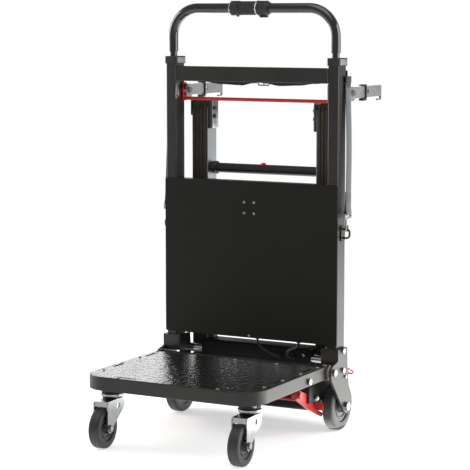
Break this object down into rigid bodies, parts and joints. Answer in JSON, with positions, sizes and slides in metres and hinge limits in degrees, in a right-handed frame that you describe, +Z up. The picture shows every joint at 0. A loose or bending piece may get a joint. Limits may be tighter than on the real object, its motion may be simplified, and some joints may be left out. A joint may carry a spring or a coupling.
{
  "type": "stair climbing hand truck",
  "caption": "Stair climbing hand truck: tube frame with telescopic handle, folding caster platform, swing-out rubber tracks, braked rear wheels, folding rear arms and a strap.",
  "frame": {"origin": "on the floor under the middle of the truck's overall box", "axes": "+X to the truck's right seen from its front in the picture, +Y to the rear where the tracks are, +Z up"},
  "size_m": [0.536, 0.7394, 1.08],
  "materials": {
    "black_steel": "satin black powder coat",
    "deck_coat": "coarse grained black powder coat",
    "black_handle": "semi-gloss black powder coat",
    "drive_case": "black anodised extrusion",
    "cast_case": "die cast, bare",
    "alloy": "satin anodised",
    "zinc": "bright zinc plate",
    "chrome": "polished",
    "red_paint": "signal red powder coat",
    "black_plastic": "fine grained black moulding",
    "black_wire": "black enamelled wire",
    "grey_plastic": "grey moulding",
    "tyre": "solid grey-black rubber",
    "track_rubber": "grooved track rubber",
    "clip_rubber": "black rubber",
    "webbing": "woven polyester webbing",
    "battery_case": "moulded battery case"
  },
  "bodies": {
    "frame": {"upright_l": "black_steel", "upright_r": "black_steel", "crossbar": "black_steel", "front_panel": "black_steel", "body_housing": "black_steel", "batteries": "battery_case", "controller": "alloy", "base_brackets": "black_steel", "side_plate_l": "black_steel", "side_plate_r": "black_steel", "collars": "black_plastic", "frame_bolts": "zinc", "pivot_pins": "chrome", "strap_fittings": "black_wire", "snap_hooks": "zinc", "strap_l": "webbing", "strap_r": "webbing", "rear_belt": "webbing", "arm_brackets": "black_steel", "drive_cables": "clip_rubber"},
    "handle": {"handle_tube": "black_handle", "handle_legs": "black_handle", "leg_guides": "black_plastic", "control_clamps": "black_plastic"},
    "direction_grip": {"control_barrel": "black_plastic"},
    "drive_switch": {"drive_button": "black_plastic"},
    "platform": {"platform_rim": "black_steel", "platform_plate": "deck_coat", "hinge_tube": "black_steel", "hinge_bushes": "black_plastic", "cross_rod": "black_steel", "caster_plates": "black_steel", "caster_heads": "black_plastic"},
    "caster_l": {"caster_fork_l": "zinc"},
    "caster_r": {"caster_fork_r": "zinc"},
    "caster_wheel_l": {"caster_tyre_l": "tyre", "caster_core_l": "grey_plastic"},
    "caster_wheel_r": {"caster_tyre_r": "tyre", "caster_core_r": "grey_plastic"},
    "rear_wheel_l": {"rear_tyre_l": "tyre", "rear_core_l": "grey_plastic"},
    "rear_wheel_r": {"rear_tyre_r": "tyre", "rear_core_r": "grey_plastic"},
    "track_unit": {"drive_housing": "drive_case", "gear_motor": "cast_case", "track_rail_l": "alloy", "track_rail_r": "alloy", "track_belt_l": "track_rubber", "track_belt_r": "track_rubber", "idler_brackets": "black_plastic", "track_tube": "black_steel"},
    "track_drive": {"drive_pulleys": "alloy"},
    "track_idler_pair": {"track_idlers": "black_plastic"},
    "arm_l": {"rear_arm_l": "zinc", "arm_clip_l": "clip_rubber"},
    "arm_r": {"rear_arm_r": "zinc", "arm_clip_r": "clip_rubber"},
    "bail": {"latch_bail": "red_paint"},
    "brake": {"brake_bail": "red_paint"},
    "lock": {"lock_pin": "chrome"}
  },
  "joints": [
    {"name": "handle_slide", "type": "slide", "parent": "frame", "child": "handle", "axis": [0, 0, 1], "range_m": [0, 0.3]},
    {"name": "direction_twist", "type": "hinge", "parent": "handle", "child": "direction_grip", "pos_m": [0, 0.1026, 1.0615], "axis": [1, 0, 0], "range_deg": [-25, 25], "stiffness_Nm_per_rad": 0.3},
    {"name": "button_press", "type": "slide", "parent": "handle", "child": "drive_switch", "axis": [0, 0, 1], "range_m": [0, 0.003], "stiffness_N_per_m": 700, "springref_m": -0.002},
    {"name": "platform_fold", "type": "hinge", "parent": "frame", "child": "platform", "pos_m": [0, 0.0586, 0.16], "axis": [-1, 0, 0], "range_deg": [0, 88]},
    {"name": "caster_swivel_l", "type": "hinge", "parent": "platform", "child": "caster_l", "pos_m": [-0.19, -0.2714, 0.126], "axis": [0, 0, 1], "continuous": true},
    {"name": "caster_roll_l", "type": "hinge", "parent": "caster_l", "child": "caster_wheel_l", "pos_m": [-0.18749, -0.31933, 0.05], "axis": [0.9986, 0.0523, 0], "continuous": true},
    {"name": "rear_roll_l", "type": "hinge", "parent": "frame", "child": "rear_wheel_l", "pos_m": [-0.2285, 0.1306, 0.0625], "axis": [1, 0, 0], "continuous": true},
    {"name": "arm_fold_l", "type": "hinge", "parent": "frame", "child": "arm_l", "pos_m": [-0.235, 0.1756, 0.85], "axis": [1, 0, 0], "range_deg": [0, 90]},
    {"name": "caster_swivel_r", "type": "hinge", "parent": "platform", "child": "caster_r", "pos_m": [0.19, -0.2714, 0.126], "axis": [0, 0, 1], "continuous": true},
    {"name": "caster_roll_r", "type": "hinge", "parent": "caster_r", "child": "caster_wheel_r", "pos_m": [0.19251, -0.31933, 0.05], "axis": [0.9986, 0.0523, 0], "continuous": true},
    {"name": "rear_roll_r", "type": "hinge", "parent": "frame", "child": "rear_wheel_r", "pos_m": [0.2285, 0.1306, 0.0625], "axis": [1, 0, 0], "continuous": true},
    {"name": "arm_fold_r", "type": "hinge", "parent": "frame", "child": "arm_r", "pos_m": [0.235, 0.1756, 0.85], "axis": [1, 0, 0], "range_deg": [0, 90]},
    {"name": "track_swing", "type": "hinge", "parent": "frame", "child": "track_unit", "pos_m": [0, 0.1326, 0.175], "axis": [-1, 0, 0], "range_deg": [0, 20], "deforming": ["drive_cables"]},
    {"name": "track_run", "type": "hinge", "parent": "track_unit", "child": "track_drive", "pos_m": [0, 0.1736, 0.068], "axis": [1, 0, 0], "continuous": true},
    {"name": "idler_run", "type": "hinge", "parent": "track_unit", "child": "track_idler_pair", "pos_m": [0, 0.1736, 0.799], "axis": [1, 0, 0], "continuous": true},
    {"name": "bail_swing", "type": "hinge", "parent": "frame", "child": "bail", "pos_m": [0, 0.1276, 0.86], "axis": [-1, 0, 0], "range_deg": [0, 35]},
    {"name": "brake_press", "type": "hinge", "parent": "frame", "child": "brake", "pos_m": [0, 0.0446, 0.095], "axis": [1, 0, 0], "range_deg": [0, 2.7]},
    {"name": "lock_pull", "type": "slide", "parent": "frame", "child": "lock", "axis": [0, 1, 0], "range_m": [0, 0.01], "stiffness_N_per_m": 400, "springref_m": -0.004}
  ],
  "couplings": [
    {"joint": "idler_run", "follows": "track_run", "ratio": 1}
  ]
}
